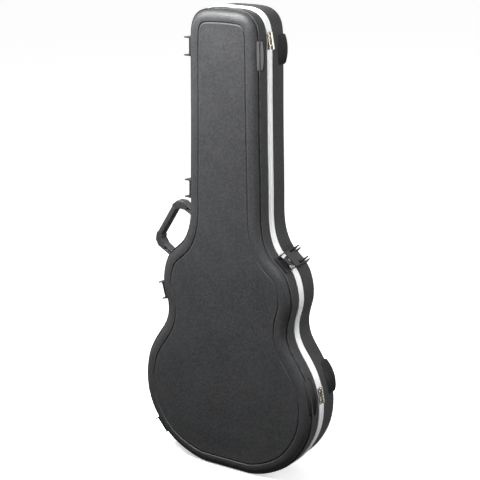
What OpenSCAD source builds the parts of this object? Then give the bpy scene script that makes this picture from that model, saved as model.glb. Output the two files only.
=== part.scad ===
// Hard-shell guitar case for a thin semi-hollow guitar.
// Two moulded shells meet at an extruded metal rail; the lid swings on two
// butt hinges, five hook latches hold it shut, and a rigid handle folds on
// two brackets. Millimetres. The case stands on its wide end: +Z is up, the
// lid faces -Y, the hinges are on the +X side and the handle on the -X side.
// The origin is on the flat end, at the parting plane.

/* [Shells] */
// Depth of the lid, from the parting plane to its outer face
lid_d = 54; // [50:1:58]
// Depth of the base, from the parting plane to its outer face
base_d = 70; // [66:1:78]
// Thickness of the moulded plastic wall
wall_t = 3.5; // [2.5:0.5:4]
// Distance from the parting plane to the step in the lid's side wall
ledge_y = 41; // [39:1:43]
// Width of that step
ledge_w = 3.5; // [2:0.5:5]
// How far in from the side the face groove runs
groove_in = 28; // [27:0.5:31]
// Width of the face groove
groove_w = 4; // [3:0.5:5]
// Depth of the face groove
groove_d = 1.8; // [1:0.1:2.2]
// Corner radius along the back edge of the base
back_r = 12; // [8:1:14]

/* [Rails] */
// Height of each metal rail along the depth
rail_w = 10.4; // [9:0.2:11]
// How far the rails stand proud of the side wall
rail_proud = 1.6; // [1:0.1:2]
// Gap between the two closed rails
rail_gap = 0.6; // [0.4:0.1:1]

/* [Hinges] */
// Length of a hinge along its pin
hinge_len = 38; // [36:1:44]
// Radius of a hinge barrel
barrel_r = 3.2; // [3:0.1:3.4]
// Radius of a hinge pin
pin_r = 1.5; // [1.2:0.1:1.6]
// Running clearance around each pin
pin_gap = 0.05; // [0.02:0.01:0.1]
// Width of each hinge leaf
leaf_w = 6.4; // [6:0.2:7]

/* [Latches] */
// Width of a latch over its guard ribs
latch_w = 43; // [42:1:46]
// Width of the hasp between the inner ribs
hasp_w = 23.4; // [22:0.2:23.6]
// How far each hasp is lifted off its keeper
pop_a = 2.5; // [2.5:0.1:3.5]
// The same, for the shoulder latch beside the hinge line
pop_shoulder = 3.5; // [3.5:0.1:4.5]

/* [Handle] */
// How far the handle stands off the chord between its brackets
handle_out = 92; // [86:1:96]
// Width of the handle along the case's depth
handle_deep = 23; // [20:1:24]
// Depth of the handle's centre line behind the parting plane
handle_y = 34; // [32:1:36]
// Thickness of the grip
grip_t = 16; // [14:1:18]

/* [Interior] */
// Depth of the body cavity in the base
cavity_d = 56; // [52:1:57]
// Depth of the hollow in the lid
lid_hollow = 38; // [36:1:39]
// Thickness of the plush lining
plush_t = 1.5; // [1:0.1:1.8]

/* [Hidden] */
$fn = 48;
black = [0.09, 0.09, 0.10];
soft = [0.13, 0.13, 0.14];
metal = [0.88, 0.88, 0.90];
plush = [0.22, 0.22, 0.24];

// Right half of the outline, from the middle of the flat end up to the top
case_pts = [
 [0, 0], [70, 1], [122, 17], [169, 46], [207, 92], [231, 150], [235, 205],
 [222, 267], [195, 315], [172, 354], [168, 397], [178, 441], [175, 486],
 [158, 524], [122, 559], [101, 608], [97, 670], [95, 780], [93, 900],
 [92, 1000], [91.4, 1036], [90, 1062], [82, 1088], [64, 1105], [38, 1111.5], [0, 1112.5]];
// Right half of the body-shaped hollow in the foam
body_pts = [
 [0, 34], [64, 36], [112, 50], [156, 80], [186, 118], [202, 162], [203, 205],
 [191, 255], [166, 300], [144, 344], [139, 395], [148, 436], [143, 472],
 [122, 500], [94, 516], [70, 524], [48, 534], [0, 538]];

// Natural smooth curve through the points: the moments of a cubic spline,
// even across the middle line, found by repeated relaxation
function seg(P) = [for (i = [0 : len(P) - 2]) norm(P[i + 1] - P[i])];
function relax(P, h, M, k) = k == 0 ? M : relax(P, h, [for (i = [0 : len(P) - 1])
    i == 0 ? [0, (12 * (P[1][1] - P[0][1]) / h[0] - 2 * h[0] * M[1][1]) / (4 * h[0])] :
    i == len(P) - 1 ? [0, (12 * (P[i - 1][1] - P[i][1]) / h[i - 1] - 2 * h[i - 1] * M[i - 1][1]) / (4 * h[i - 1])] :
    (6 * ((P[i + 1] - P[i]) / h[i] - (P[i] - P[i - 1]) / h[i - 1]) - h[i - 1] * M[i - 1] - h[i] * M[i + 1])
        / (2 * (h[i - 1] + h[i]))], k - 1);
function curve(P) = let (h = seg(P)) [P, h, relax(P, h, [for (p = P) [0, 0]], 40)];
// Point and unit outward normal on the right half, at segment number u
function cpos(C, u) = let (i = min(floor(u), len(C[1]) - 1), b = u - i, a = 1 - b, h = C[1][i])
    a * C[0][i] + b * C[0][i + 1] + h * h / 6 * ((pow(a, 3) - a) * C[2][i] + (pow(b, 3) - b) * C[2][i + 1]);
function cnor(C, u) = let (i = min(floor(u), len(C[1]) - 1), b = u - i, a = 1 - b, h = C[1][i],
    d = (C[0][i + 1] - C[0][i]) / h + h / 6 * ((1 - 3 * a * a) * C[2][i] + (3 * b * b - 1) * C[2][i + 1]),
    L = norm(d)) [d[1] / L, -d[0] / L];
// Whole closed outline, moved in by e, k points to a segment
function right(C, k, e) = [for (i = [0 : (len(C[0]) - 1) * k]) let (u = i / k) cpos(C, u) - e * cnor(C, u)];
function loop2(R) = concat(R, [for (i = [len(R) - 2 : -1 : 1]) [-R[i][0], R[i][1]]]);
CASE = curve(case_pts);
BODY = curve(body_pts);
K = 3;
// The flat end is cut level, so the shells and the rails all stand on it
function outline0(e) = [for (p = loop2(right(CASE, K, e))) [p[0], max(p[1], max(e, 0))]];

// Flat shape in X and Z, from y0 to y1
module slab(pts, y0, y1) {
    translate([0, y1, 0]) rotate([90, 0, 0]) linear_extrude(y1 - y0) polygon(pts);
}
// Skin swept through the rings [inset, y], with a flat face at each end
module tray(rings) {
    n = len(outline0(0));
    pts = [for (r = rings) for (p = outline0(r[0])) [p[0], r[1], p[1]]];
    m = len(rings);
    polyhedron(pts, concat(
        [for (j = [0 : m - 2]) for (i = [0 : n - 1]) [j * n + i, j * n + (i + 1) % n, (j + 1) * n + i]],
        [for (j = [0 : m - 2]) for (i = [0 : n - 1]) [j * n + (i + 1) % n, (j + 1) * n + (i + 1) % n, (j + 1) * n + i]],
        cap(0, n / 2, true), cap((m - 1) * n, n / 2, false)));
}
// Flat end of the skin, in strips across it, with a fan at each level end
function cap(o, h, flip) = [for (t = concat(
    [[3, 2 * h - 3, 2 * h - 2], [3, 2 * h - 2, 2 * h - 1], [3, 2 * h - 1, 0], [3, 0, 1], [3, 1, 2]],
    [for (i = [3 : h - 5]) [i, i + 1, 2 * h - i - 1]], [for (i = [3 : h - 5]) [i, 2 * h - i - 1, 2 * h - i]],
    [for (i = [h - 3 : h + 3]) [h - 4, i, i + 1]]))
    flip ? [o + t[2], o + t[1], o + t[0]] : [o + t[0], o + t[1], o + t[2]]];
function flipy(R) = [for (r = R) [r[0], -r[1]]];
function rev(R) = [for (i = [len(R) - 1 : -1 : 0]) R[i]];

// ---- shells -------------------------------------------------------------
r_in = groove_in - 3 - ledge_w;      // width of the rounded edge of the lid
lid_out = concat(
    [[groove_in + groove_w, lid_d], [groove_in + groove_w - 1, lid_d - groove_d],
     [groove_in + 1, lid_d - groove_d], [groove_in, lid_d]],
    [for (a = [90 : -22.5 : 0]) [ledge_w + r_in * (1 - cos(a)), ledge_y + (lid_d - ledge_y) * sin(a)]],
    [[0.6, ledge_y], [0, ledge_y - 1.5], [0, rail_w + 0.1]]);
lid_in = [[wall_t, rail_w + 0.1], [wall_t, ledge_y - wall_t - 1], [ledge_w + wall_t, ledge_y - wall_t + 1],
    [ledge_w + r_in * 0.3 + wall_t, lid_d - wall_t - 5], [groove_in + groove_w + 2, lid_d - wall_t - 1]];
base_out = concat(
    [[groove_in + groove_w, base_d], [groove_in + groove_w - 1, base_d - groove_d],
     [groove_in + 1, base_d - groove_d], [groove_in, base_d]],
    [for (a = [90 : -22.5 : 0]) [back_r * (1 - sin(a)), base_d - back_r + back_r * sin(a)] ],
    [[0, rail_w + 0.1]]);
base_arc = [for (a = [90 : -22.5 : 0]) [back_r * (1 - cos(a)), base_d - back_r * (1 - sin(a))]];
base_in = [[wall_t, rail_w + 0.1], [wall_t, base_d - back_r], [back_r - (back_r - wall_t) * 0.7, base_d - wall_t - (back_r - wall_t) * 0.3],
    [back_r, base_d - wall_t], [groove_in + groove_w + 2, base_d - wall_t]];
module lid_shell() color(black)
    tray(flipy(concat(lid_out, lid_in)));
module base_shell() color(black)
    tray(rev(concat([base_out[0], base_out[1], base_out[2], base_out[3]], base_arc, [[0, rail_w + 0.1]], base_in)));

// ---- rails --------------------------------------------------------------
module rail(y0, y1) color(metal) difference() {
    slab(outline0(-rail_proud), y0, y1);
    slab(outline0(4.8), y0 - 1, y1 + 1);
    for (z = hinge_z) on_hinge(z) for (d = [-11, 11])
        translate([-2.6, sign(y1 - 1) * rivet_y, d]) rotate([0, 90, 0]) cylinder(h = 12, r = 1.7);
}
module base_rail() rail(0, rail_w);
module lid_rail() rail(-rail_w, -rail_gap);

// ---- foam and lining ----------------------------------------------------
// Room for the neck above the accessory box, and for the headstock
neck_cut = [[-30, 520], [30, 520], [32, 640], [-32, 640]];
box_z0 = 712; box_z1 = 756; box_y = 26; box_x = 62.5;
rest_z0 = 806; rest_z1 = 848;
top_pts = [[74, 634], [74, 1040], [66, 1072], [44, 1086], [-44, 1086], [-66, 1072], [-74, 1040], [-74, 634]];
head_pts = [[70, 852], [70, 1038], [62, 1068], [42, 1082], [-42, 1082], [-62, 1068], [-70, 1038], [-70, 852]];
function bodyline(e) = loop2(right(BODY, K, e));
function rect2(x, z0, z1) = [[-x, z0], [x, z0], [x, z1], [-x, z1]];
module hollows(g) {
    slab(bodyline(g), 0, cavity_d - g);
    slab(rect2(31 - g, 500, 650), 0, 30 - g);
    slab([for (p = top_pts) [p[0] - sign(p[0]) * g, p[1] > 700 ? p[1] - g : p[1] + g]], 0, box_y - 4 - g);
    slab(rect2(box_x - g, box_z0 + g, box_z1 - g), 0, cavity_d - g);
    slab([for (p = head_pts) [p[0] - sign(p[0]) * g, p[1] > 900 ? p[1] - g : p[1] + g]], 0, cavity_d - g);
}
module foam_bed() color([0.85, 0.85, 0.83]) difference() {
    union() {
        slab(outline0(5.5), 2, base_d - back_r - 1);
        slab(outline0(17), base_d - back_r - 1, base_d - wall_t - 0.5);
    }
    hollows(0);
    slab(rect2(box_x + 3.7, box_z0 - 6, box_z1 + 7), 0, box_y);
}
module base_lining() color(plush) difference() {
    union() {
        intersection() { slab(outline0(7), 0.6, base_d); hollows(0.2); }
        slab(outline0(5.8), 0.6, 1.9);
    }
    hollows(plush_t + 0.2);
    slab(rect2(box_x + 3.7, box_z0 - 6, box_z1 + 7), 0, box_y);
}
module neck_rest() color(plush) difference() {
    slab(rect2(71.5, rest_z0, rest_z1), 5, box_y - 4 - plush_t - 0.2);
    translate([0, -9, (rest_z0 + rest_z1) / 2]) cylinder(h = 80, r = 26, center = true);
}
module accessory_lid() color(plush) {
    difference() {
        slab(rect2(box_x + 3, box_z0 - 5.3, box_z1 + 3), box_y - 4.2, box_y - 0.4);
        translate([0, box_y - 5, box_z0 + 5]) rotate([-90, 0, 0]) cylinder(h = 6, r = 3.2);
    }
    translate([0, box_y - 2.3, box_z1 + 4]) rotate([0, 90, 0]) cylinder(h = 120, r = 1.2, center = true);
}
module accessory_tab() color(soft) {
    translate([0, box_y - 6.9, box_z0 + 5]) rotate([-90, 0, 0]) cylinder(h = 6.3, r = 3);
    translate([-8, box_y - 6.9, box_z0 - 10]) cube([16, 1, 20]);
}
lid_core = ledge_y - wall_t - 1;
module lid_foam() color([0.85, 0.85, 0.83]) difference() {
    union() {
        slab(outline0(5.5), -lid_core + 1, -2);
        slab(outline0(25), -lid_d + wall_t + 3.5, -lid_core + 1);
    }
    slab(outline0(26), -lid_hollow, 0);
}
module lid_lining() color(plush) difference() {
    union() {
        slab(outline0(26.2), -lid_hollow + 0.2, -1.9);
        slab(outline0(5.8), -1.9, -0.6);
    }
    slab(outline0(26.2 + plush_t), -lid_hollow + 0.2 + plush_t, 0);
}

// ---- bumpers ------------------------------------------------------------
// Local frame on the outline: X outward, Y along the depth, Z along the edge
module on_edge(u, side = 1) {
    p = cpos(CASE, u); m = cnor(CASE, u);
    translate([side * p[0], 0, p[1]]) rotate([0, -atan2(m[1], side * m[0]), 0]) children();
}
module case_prism(e = 0) slab(outline0(e), -120, 120);
// Half-moon pad: long l, high h, from y0 to y1
module moon(u, l, h, y0, y1) difference() {
    R = (l * l / 4 + h * h) / (2 * h);
    on_edge(u) intersection() {
        translate([h - R, y0, 0]) rotate([-90, 0, 0]) cylinder(h = y1 - y0, r = R, $fn = 300);
        translate([-8, y0, -l / 2 + 3]) cube([40, y1 - y0, l - 6]);
    }
    case_prism(0);
}
module base_bumpers() color(black) {
    moon(19.56, 76, 9.5, 38, 60);
    moon(6.92, 76, 9.5, 38, 60);
}
module lid_bumpers() color(black) {
    moon(19.42, 74, 5.5, -40, -17);
    moon(6.12, 84, 6, -40, -17);
}

// ---- hinges -------------------------------------------------------------
// The straight line that touches the outline at the top and at the wide end
hinge_a = 9.72;
hinge_foot = [232, 231.4];
axis_n = 5.2;
module on_hinge(z) {
    x = hinge_foot[0] - (z - hinge_foot[1]) * tan(hinge_a);
    translate([x, 0, z]) rotate([0, -hinge_a, 0]) children();
}
hinge_z = [229, 1043];
rivet_y = 6.8;                         // the leaves are riveted through the rails
seg_l = hinge_len / 5;
module knuckles(odd, s) for (i = [0 : 4]) if ((i % 2 == 0) == odd)
    translate([0, 0, -hinge_len / 2 + i * seg_l + 0.15]) difference() {
        union() {
            translate([axis_n, 0, 0]) cylinder(h = seg_l - 0.3, r = barrel_r);
            translate([2, s > 0 ? 1.2 : -4, 0]) cube([1.5, 2.8, seg_l - 0.3]);
        }
        translate([axis_n, 0, -1]) cylinder(h = seg_l + 2, r = pin_r + pin_gap);
    }
module leaf(s) {
    translate([2, s > 0 ? 3.6 : -3.6 - leaf_w, -hinge_len / 2]) cube([1.5, leaf_w, hinge_len]);
    knuckles(s > 0, s);
    // packing under the leaf, cut to the rail's curve
    translate([-3.5, s > 0 ? 3.6 : -3.6 - leaf_w, -hinge_len / 2]) cube([5.6, leaf_w, hinge_len]);
}
module hinge_leaves(s) color(metal) difference() {
    for (z = hinge_z) on_hinge(z) leaf(s);
    case_prism(0);
    slab(outline0(-rail_proud - 0.02), -rail_w - 0.1, rail_w + 0.1);
    for (z = hinge_z) on_hinge(z) for (d = [-11, 11])
        translate([-10, s * rivet_y, d]) rotate([0, 90, 0]) cylinder(h = 30, r = 1.7);
}
module base_hinge_leaves() hinge_leaves(1);
module lid_hinge_leaves() hinge_leaves(-1);
module hinge_rivets(s) color(metal) for (z = hinge_z) on_hinge(z) for (d = [-11, 11])
    translate([0, s * rivet_y, d]) rotate([0, 90, 0]) {
        translate([0, 0, -2.4]) cylinder(h = 6, r = 1.6);
        translate([0, 0, 3.55]) cylinder(h = 1, r1 = 2.8, r2 = 1.9);
    }
module base_hinge_rivets() hinge_rivets(1);
module lid_hinge_rivets() hinge_rivets(-1);
module hinge_pins() color(metal) for (z = hinge_z) on_hinge(z) translate([axis_n, 0, -hinge_len / 2 - 1.2]) {
    cylinder(h = hinge_len + 2.4, r = pin_r);
    cylinder(h = 1.2, r = 2.4);
    translate([0, 0, hinge_len + 1.2]) cylinder(h = 1.2, r = 2.4);
}

// ---- latches ------------------------------------------------------------
// name index: 0 neck top, 1 neck low, 2 waist, 3 bottom, 4 shoulder
latch_u = [19.56, 16.16, 10.64, 3.53, 13.4];
fin_n = [21, 20, 18, 17, 12.5];           // how far each keeper's fins reach
latch_side = [-1, -1, -1, -1, 1];
latch_lift = [0.3, 0.3, 2.4, 0.3, 1.2];
function pop(i) = i == 4 ? pop_shoulder : pop_a;
module at_latch(i) on_edge(latch_u[i], latch_side[i]) translate([latch_lift[i], 0, 0]) children();
half = latch_w / 2;
hp_y = 40; hp_n = 8;                 // hasp pivot
tp_y = -12; tp_n = 8.8;              // trigger pivot
hp_r = 1.6; tp_r = 1.2;
module side_ribs(pts, z, t) for (s = [-1, 1]) translate([0, 0, s > 0 ? z - t : -z]) linear_extrude(t) polygon(pts);
module keeper(i) color(black) difference() {
    at_latch(i) {
        translate([-6, -38, -half]) cube([8.4, 26, latch_w]);
        side_ribs(i == 4 ?
            [[0, -38], [1.2, -37.8], [3, -35.6], [fin_n[i], -16], [12.6, -12.2], [0, -12.2]] :
            [[0, -38], [2.4, -38], [fin_n[i] - 1.5, -36.8], [fin_n[i], -35], [15.5, -13.5], [13, -12.2], [0, -12.2]], half, 2.4);
        translate([2, -38, -half]) cube([3.4, 2.6, latch_w]);
        translate([2, -21, -9]) cube([2.9, 1.9, 18]);
    }
    case_prism(0);
    at_latch(i) for (s = [-1, 1]) translate([-12, -31, s * 13]) rotate([0, 90, 0]) cylinder(h = 20, r = 1.7);
}
module bracket(i) color(black) difference() {
    at_latch(i) difference() {
        union() {
            translate([-6, 12, -half]) cube([8.4, 43, latch_w]);
            side_ribs([[0, 12.2], [12.5, 12.2], [15.5, 28], [19, 49], [17.5, 54], [12, 55], [0, 55]], half, 2.2);
            side_ribs([[0, 12.2], [12.5, 12.2], [15, 28], [18.5, 49], [17, 54], [12, 55], [0, 55]], hasp_w / 2 + 2.7, 2.2);
        }
        translate([hp_n, hp_y, -half + 3]) cylinder(h = latch_w - 6, r = hp_r + pin_gap);
    }
    case_prism(0);
    at_latch(i) for (s = [-1, 1]) translate([-12, 20, s * 7]) rotate([0, 90, 0]) cylinder(h = 20, r = 1.7);
}
module rivet() { translate([0, 0, 0.5]) cylinder(h = 2, r = 1.6); translate([0, 0, 2.45]) cylinder(h = 1, r1 = 2.9, r2 = 2); }
module keeper_rivets() color(metal) for (i = [0 : 4]) at_latch(i) for (s = [-1, 1])
    translate([0, -31, s * 13]) rotate([0, 90, 0]) rivet();
module bracket_rivets() color(metal) for (i = [0 : 4]) at_latch(i) for (s = [-1, 1])
    translate([0, 20, s * 7]) rotate([0, 90, 0]) rivet();
module hasp_pins() color(metal) for (i = [0 : 4]) at_latch(i)
    translate([hp_n, hp_y, -hasp_w / 2 - 2.4]) cylinder(h = hasp_w + 4.8, r = hp_r);
module popped(i) at_latch(i) translate([hp_n, hp_y, 0]) rotate([0, 0, pop(i)]) translate([-hp_n, -hp_y, 0]) children();
hw = hasp_w / 2;
module hasp(i) color(soft) popped(i) difference() {
    union() {
        translate([0, 0, -hw]) linear_extrude(hasp_w)
            polygon([[11.3, -9.8], [13, -10.8], [13.8, 8], [13.6, 28], [12.2, 40.5], [8, 42], [8, 36], [11, 26], [11.3, 8]]);
        translate([hp_n, hp_y, -hw]) cylinder(h = hasp_w, r = 4.4);
        side_ribs([[6.6, -14.4], [10.6, -15], [12, -11.5], [12, 30], [8, 36], [6.6, 20]], hw, 1.8);
        // the shoulder hasp has a hood as wide as its keeper, over both rails
        if (i == 4) {
            translate([0, 0, -half]) linear_extrude(latch_w) polygon([[11.3, -11.3], [13, -11.3], [13.8, 8], [13.6, 9.4], [11.3, 9.4]]);
            side_ribs([[7, -11.3], [12, -11.3], [12, 9.4], [7, 9.4]], half, 1.8);
        }
    }
    translate([hp_n, hp_y, -hw - 1]) cylinder(h = hasp_w + 2, r = hp_r + pin_gap);
    translate([tp_n, tp_y, -hw - 1]) cylinder(h = hasp_w + 2, r = tp_r + pin_gap);
}
tw = hw - 2.1;
module trigger(i) color(soft) popped(i) difference() {
    union() {
        translate([0, 0, -tw]) linear_extrude(2 * tw)
            polygon([[tp_n - 2.4, tp_y], [6.4, -20], [3.7, -22.3], [3.7, -24.6], [6.5, -25.4], [9.3, -26.6],
                     [10.4, -25.8], [9.9, -22.5], [10.3, -13.4], [tp_n + 2.4, tp_y]]);
        translate([tp_n, tp_y, -tw]) cylinder(h = 2 * tw, r = 2.4);
    }
    translate([tp_n, tp_y, -tw - 1]) cylinder(h = 2 * tw + 2, r = tp_r + pin_gap);
    translate([tp_n, tp_y, -3.6]) cylinder(h = 7.2, r = 2.6);
    translate([tp_n - 4, tp_y, -3.6]) cube([5.5, 4, 7.2]);
}
module trigger_pin(i) color(metal) popped(i) translate([tp_n, tp_y, -hw + 0.2]) cylinder(h = hasp_w - 0.4, r = tp_r);
module spring(i) color(metal) popped(i) translate([tp_n, tp_y, 0]) for (k = [-2.5 : 1 : 2.5])
    translate([0, 0, k]) rotate_extrude() translate([1.8, 0]) circle(r = 0.35, $fn = 16);

// ---- handle -------------------------------------------------------------
// The chord between the two brackets runs along the left shoulder
hand_m = [-141, 535];
hand_a = 31.8;                       // chord's angle from the vertical
chord = 129;
hn = 16;                             // height of the pivot line over the chord
module at_handle() translate([hand_m[0], handle_y, hand_m[1]]) rotate([0, -180 + hand_a, 0]) children();
arm = chord / 2;
hand_out_pts = [[hn, arm - 6], [hn, arm + 6], [handle_out - 20, arm + 7.5], [handle_out - 6, arm - 1], [handle_out, arm - 17],
    [handle_out, -arm + 17], [handle_out - 6, -arm + 1], [handle_out - 20, -arm - 7.5], [hn, -arm - 6], [hn, -arm + 6],
    [handle_out - grip_t - 18, -arm + 8], [handle_out - grip_t - 4, -arm + 15], [handle_out - grip_t, -arm + 24],
    [handle_out - grip_t, arm - 24], [handle_out - grip_t - 4, arm - 15], [handle_out - grip_t - 18, arm - 8]];
module hand_plate(d) rotate([90, 0, 0]) translate([0, 0, -d / 2]) linear_extrude(d) polygon(hand_out_pts);
grip_l = 84;
module handle_core() color(black) at_handle() difference() {
    union() {
        hand_plate(handle_deep - 1.4);
        for (s = [-1, 1]) translate([hn, 0, s * arm - 6]) cylinder(h = 12, r = (handle_deep - 1.4) / 2);
    }
    translate([hn, 0, -arm - 20]) cylinder(h = chord + 40, r = 2.5 + pin_gap);
    // the grip is moulded round a thinner bar
    difference() {
        translate([handle_out - 40, -40, -grip_l / 2]) cube([80, 80, grip_l]);
        translate([handle_out - grip_t + 3.5, -7, -grip_l / 2 - 1]) cube([grip_t - 7, 14, grip_l + 2]);
    }
    // pockets in the arms
    for (s = [-1, 1]) for (f = [-1, 1]) translate([hn + 14, f > 0 ? 6 : -6 - 20, s * arm - 3]) cube([24, 20, 6]);
}
module handle_grip() color(soft) at_handle() difference() {
    intersection() {
        translate([handle_out - grip_t - 2, -handle_deep / 2, -grip_l / 2 + 0.2]) cube([grip_t + 2, handle_deep, grip_l - 0.4]);
        translate([handle_out - grip_t / 2, 0, -60]) rotate([0, 0, 0]) linear_extrude(120)
            polygon([for (a = [0 : 15 : 345]) [(grip_t / 2) * sign(cos(a)) * pow(abs(cos(a)), 0.55), handle_deep / 2 * sign(sin(a)) * pow(abs(sin(a)), 0.55)]]);
    }
    translate([handle_out - grip_t + 3.3, -7.2, -60]) cube([grip_t - 6.6, 14.4, 120]);
}
module handle_brackets() color(black) difference() {
    at_handle() for (s = [-1, 1]) translate([0, 0, s * arm]) difference() {
        union() {
            translate([-26, -14, -13]) cube([31, 28, 26]);
            for (q = [-1, 1]) translate([0, 0, q > 0 ? 7 : -11]) {
                translate([hn, 0, 0]) cylinder(h = 4, r = 7);
                translate([-4, -7, 0]) cube([hn + 4, 14, 4]);
            }
        }
        translate([hn, 0, -20]) cylinder(h = 40, r = 2.5 + pin_gap);
        // room for the end of the arm as it swings
        translate([hn, 0, -6.6]) cylinder(h = 13.2, r = (handle_deep - 1.4) / 2 + 0.9);
        for (f = [-1, 1]) translate([-30, f * 10.8, 0]) rotate([0, 90, 0]) cylinder(h = 60, r = 1.85);
    }
    case_prism(0);
}
module handle_pins() color(metal) at_handle() for (s = [-1, 1]) translate([hn, 0, s * arm - 10.8]) cylinder(h = 21.6, r = 2.5);
module handle_rivets() color(metal) at_handle() for (s = [-1, 1]) for (f = [-1, 1])
    translate([1, f * 10.8, s * arm]) rotate([0, 90, 0]) { translate([0, 0, 1.8]) cylinder(h = 2.4, r = 1.7); translate([0, 0, 4.03]) cylinder(h = 1.2, r1 = 3, r2 = 2); }

// ---- nodes --------------------------------------------------------------
module keeper_neck_top() keeper(0);
module keeper_neck_low() keeper(1);
module keeper_waist() keeper(2);
module keeper_bottom() keeper(3);
module keeper_shoulder() keeper(4);
module bracket_neck_top() bracket(0);
module bracket_neck_low() bracket(1);
module bracket_waist() bracket(2);
module bracket_bottom() bracket(3);
module bracket_shoulder() bracket(4);
module hasp_neck_top() hasp(0);
module hasp_neck_low() hasp(1);
module hasp_waist() hasp(2);
module hasp_bottom() hasp(3);
module hasp_shoulder() hasp(4);
module trigger_neck_top() trigger(0);
module trigger_neck_low() trigger(1);
module trigger_waist() trigger(2);
module trigger_bottom() trigger(3);
module trigger_shoulder() trigger(4);
module trigger_pin_neck_top() trigger_pin(0);
module trigger_pin_neck_low() trigger_pin(1);
module trigger_pin_waist() trigger_pin(2);
module trigger_pin_bottom() trigger_pin(3);
module trigger_pin_shoulder() trigger_pin(4);
module spring_neck_top() spring(0);
module spring_neck_low() spring(1);
module spring_waist() spring(2);
module spring_bottom() spring(3);
module spring_shoulder() spring(4);

base_shell();
base_rail();
foam_bed();
base_lining();
neck_rest();
accessory_lid();
accessory_tab();
base_bumpers();
base_hinge_leaves();
hinge_pins();
base_hinge_rivets();
lid_shell();
lid_rail();
lid_foam();
lid_lining();
lid_bumpers();
lid_hinge_leaves();
lid_hinge_rivets();
handle_core();
handle_grip();
handle_brackets();
handle_pins();
handle_rivets();
keeper_neck_top();
keeper_neck_low();
keeper_waist();
keeper_bottom();
keeper_shoulder();
keeper_rivets();
bracket_neck_top();
bracket_neck_low();
bracket_waist();
bracket_bottom();
bracket_shoulder();
bracket_rivets();
hasp_pins();
hasp_neck_top();
hasp_neck_low();
hasp_waist();
hasp_bottom();
hasp_shoulder();
trigger_neck_top();
trigger_neck_low();
trigger_waist();
trigger_bottom();
trigger_shoulder();
trigger_pin_neck_top();
trigger_pin_neck_low();
trigger_pin_waist();
trigger_pin_bottom();
trigger_pin_shoulder();
spring_neck_top();
spring_neck_low();
spring_waist();
spring_bottom();
spring_shoulder();
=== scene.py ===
import bpy, bmesh, math
import numpy as np
from mathutils import Vector, Matrix


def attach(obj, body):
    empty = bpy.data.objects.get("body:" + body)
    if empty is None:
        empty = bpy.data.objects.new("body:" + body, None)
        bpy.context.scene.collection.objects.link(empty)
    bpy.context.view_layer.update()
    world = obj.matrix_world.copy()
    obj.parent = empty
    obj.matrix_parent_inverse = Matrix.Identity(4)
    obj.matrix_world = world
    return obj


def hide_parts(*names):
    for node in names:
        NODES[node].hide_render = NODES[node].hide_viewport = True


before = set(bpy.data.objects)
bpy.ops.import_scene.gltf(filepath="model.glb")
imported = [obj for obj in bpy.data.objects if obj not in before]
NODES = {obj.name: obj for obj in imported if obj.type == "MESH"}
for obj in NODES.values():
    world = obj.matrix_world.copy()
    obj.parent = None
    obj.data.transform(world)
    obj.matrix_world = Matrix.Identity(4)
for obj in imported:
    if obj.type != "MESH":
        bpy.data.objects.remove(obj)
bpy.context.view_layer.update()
MM = 0.001
scene = bpy.context.scene
NAMES = ["neck_top", "neck_low", "waist", "bottom", "shoulder"]

# ---------------------------------------------------------------- camera
th, el, roll = math.radians(32.25), math.radians(16.89), math.radians(-0.22)
back = Vector((math.sin(th) * math.cos(el), -math.cos(th) * math.cos(el), math.sin(el)))
right = Vector((math.cos(th), math.sin(th), 0.0))
up = back.cross(right)
r2 = right * math.cos(roll) + up * math.sin(roll)
u2 = up * math.cos(roll) - right * math.sin(roll)
cam_data = bpy.data.cameras.new("camera")
cam = bpy.data.objects.new("camera", cam_data)
scene.collection.objects.link(cam)
m = Matrix((r2, u2, back)).transposed().to_4x4()
m.translation = Vector((13.07, 0, 571.4)) * MM + back * 3.1257
cam.matrix_world = m
cam_data.sensor_width = 36
cam_data.lens = 1337.3 / 480 * 36
cam_data.clip_end = 60
scene.camera = cam

# ---------------------------------------------------------------- nodes for materials
def mat_new(name):
    mt = bpy.data.materials.new(name)
    mt.use_nodes = True
    nt = mt.node_tree
    return mt, nt, nt.nodes["Principled BSDF"]

def nd(nt, kind, **vals):
    n = nt.nodes.new(kind)
    for k, v in vals.items():
        if hasattr(n, k) and k not in n.inputs:
            setattr(n, k, v)
        else:
            n.inputs[k.replace("_", " ")].default_value = v
    return n

def coords(nt, scale=(1, 1, 1)):
    tc = nt.nodes.new("ShaderNodeTexCoord")
    mp = nt.nodes.new("ShaderNodeMapping")
    mp.inputs["Scale"].default_value = scale
    nt.links.new(tc.outputs["Object"], mp.inputs["Vector"])
    return mp.outputs["Vector"]

def noise(nt, vec, scale, detail=3.0, rough=0.5):
    n = nt.nodes.new("ShaderNodeTexNoise")
    n.inputs["Scale"].default_value = scale
    n.inputs["Detail"].default_value = detail
    n.inputs["Roughness"].default_value = rough
    nt.links.new(vec, n.inputs["Vector"])
    return n.outputs["Fac"]

def voro(nt, vec, scale, feature="SMOOTH_F1"):
    n = nt.nodes.new("ShaderNodeTexVoronoi")
    n.feature = feature
    n.inputs["Scale"].default_value = scale
    nt.links.new(vec, n.inputs["Vector"])
    return n.outputs["Distance"]

def ramp(nt, fac, stops):
    n = nt.nodes.new("ShaderNodeValToRGB")
    e = n.color_ramp.elements
    while len(e) > len(stops):
        e.remove(e[-1])
    while len(e) < len(stops):
        e.new(1.0)
    for i, (p, c) in enumerate(stops):
        e[i].position = p
        e[i].color = (*c, 1) if hasattr(c, "__len__") else (c, c, c, 1)
    nt.links.new(fac, n.inputs["Fac"])
    return n.outputs["Color"]

def rng(nt, fac, a, b, c, d):
    n = nt.nodes.new("ShaderNodeMapRange")
    for k, v in zip(("From Min", "From Max", "To Min", "To Max"), (a, b, c, d)):
        n.inputs[k].default_value = v
    nt.links.new(fac, n.inputs["Value"])
    return n.outputs["Result"]

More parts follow.
